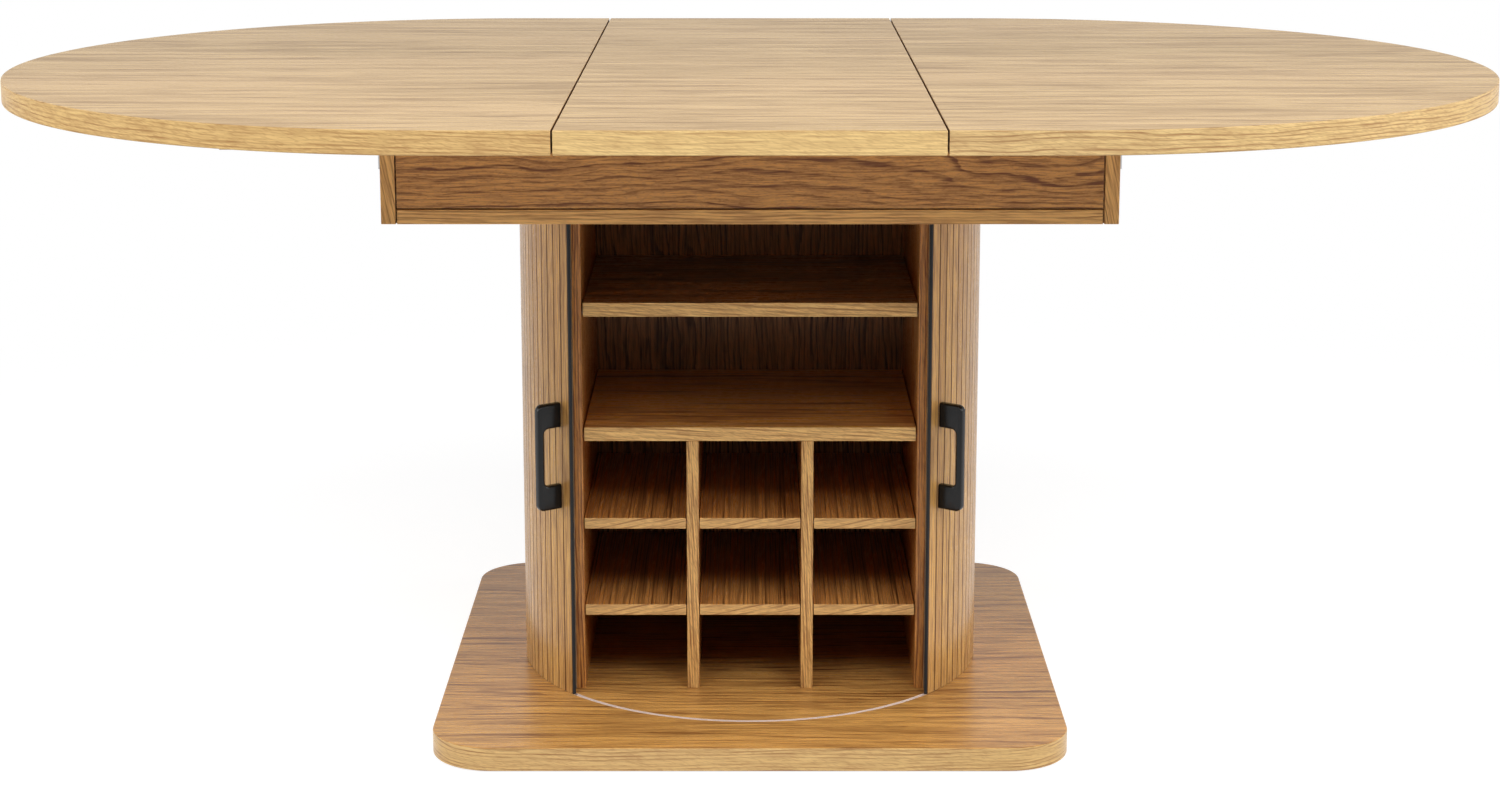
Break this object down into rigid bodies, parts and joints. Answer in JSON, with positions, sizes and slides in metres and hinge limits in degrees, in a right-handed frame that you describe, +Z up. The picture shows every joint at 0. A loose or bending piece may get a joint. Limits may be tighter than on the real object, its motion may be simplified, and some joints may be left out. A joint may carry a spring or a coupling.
{
  "type": "extending dining table with tambour cabinet pedestal",
  "caption": "Oval extending wooden dining table on a round cabinet pedestal with sliding tambour doors, shelves and a bottle rack.",
  "frame": {"origin": "on the floor under the centre of the table, with the leaf in and both doors open", "axes": "+X along the table's length, -Y towards the open front of the cabinet, +Z up"},
  "size_m": [1.7898, 1.203, 0.773],
  "materials": {
    "oak_board": "satin oak grain laminate",
    "oak_tambour": "satin oak slats",
    "black_handle": "matte black",
    "charcoal_strip": "matte",
    "track_plastic": "satin",
    "backing_cloth": "plain canvas",
    "zinc_steel": "zinc plated",
    "beech": "planed, unfinished",
    "glide_plastic": "matte"
  },
  "bodies": {
    "pedestal": {"base_plate": "oak_board", "floor_glides": "glide_plastic", "base_screws": "zinc_steel", "lower_track": "track_plastic", "upper_track": "track_plastic", "left_side_panel": "oak_board", "right_side_panel": "oak_board", "back_panel": "oak_board", "carcass_screws": "zinc_steel", "upper_shelf": "oak_board", "rack_top_shelf": "oak_board", "left_divider": "oak_board", "right_divider": "oak_board", "rack_shelf_lower_left": "oak_board", "rack_shelf_lower_middle": "oak_board", "rack_shelf_lower_right": "oak_board", "rack_shelf_upper_left": "oak_board", "rack_shelf_upper_middle": "oak_board", "rack_shelf_upper_right": "oak_board", "shelf_pins": "zinc_steel", "box_floor_board": "oak_board", "box_front_board": "oak_board", "box_back_board": "oak_board", "box_left_end_board": "oak_board", "box_right_end_board": "oak_board", "left_keeper_plates": "zinc_steel", "right_keeper_plates": "zinc_steel", "keeper_screws": "zinc_steel", "box_cross_rail": "beech", "hold_down_straps": "zinc_steel", "strap_screws": "zinc_steel", "box_corner_blocks": "beech", "box_dowels": "beech", "box_screws": "zinc_steel"},
    "left_door": {"left_door_slats": "oak_tambour", "left_door_backing": "backing_cloth", "left_door_edge_strip": "charcoal_strip", "left_door_rear_strip": "charcoal_strip", "left_handle": "black_handle", "left_handle_screws": "zinc_steel"},
    "left_half_top": {"left_top_panel": "oak_board", "left_runner_front": "beech", "left_runner_back": "beech", "left_runner_screws": "zinc_steel", "left_stop_pins": "beech"},
    "right_door": {"right_door_slats": "oak_tambour", "right_door_backing": "backing_cloth", "right_door_edge_strip": "charcoal_strip", "right_door_rear_strip": "charcoal_strip", "right_handle": "black_handle", "right_handle_screws": "zinc_steel"},
    "right_half_top": {"right_top_panel": "oak_board", "right_runner_front": "beech", "right_runner_back": "beech", "right_runner_screws": "zinc_steel", "right_stop_pins": "beech"},
    "leaf": {"leaf_panel": "oak_board"}
  },
  "joints": [
    {"name": "left_door_travel", "type": "hinge", "parent": "pedestal", "child": "left_door", "pos_m": [0, 0, 0], "axis": [0, 0, 1], "range_deg": [0, 48.6]},
    {"name": "right_door_travel", "type": "hinge", "parent": "pedestal", "child": "right_door", "pos_m": [0, 0, 0], "axis": [0, 0, -1], "range_deg": [0, 48.6]},
    {"name": "left_half_draw", "type": "slide", "parent": "pedestal", "child": "left_half_top", "axis": [-1, 0, 0], "range_m": [0, 0.05]},
    {"name": "right_half_draw", "type": "slide", "parent": "pedestal", "child": "right_half_top", "axis": [1, 0, 0], "range_m": [0, 0.05]},
    {"name": "leaf_lift", "type": "slide", "parent": "pedestal", "child": "leaf", "axis": [0, 0, 1], "range_m": [0, 0.3]}
  ]
}
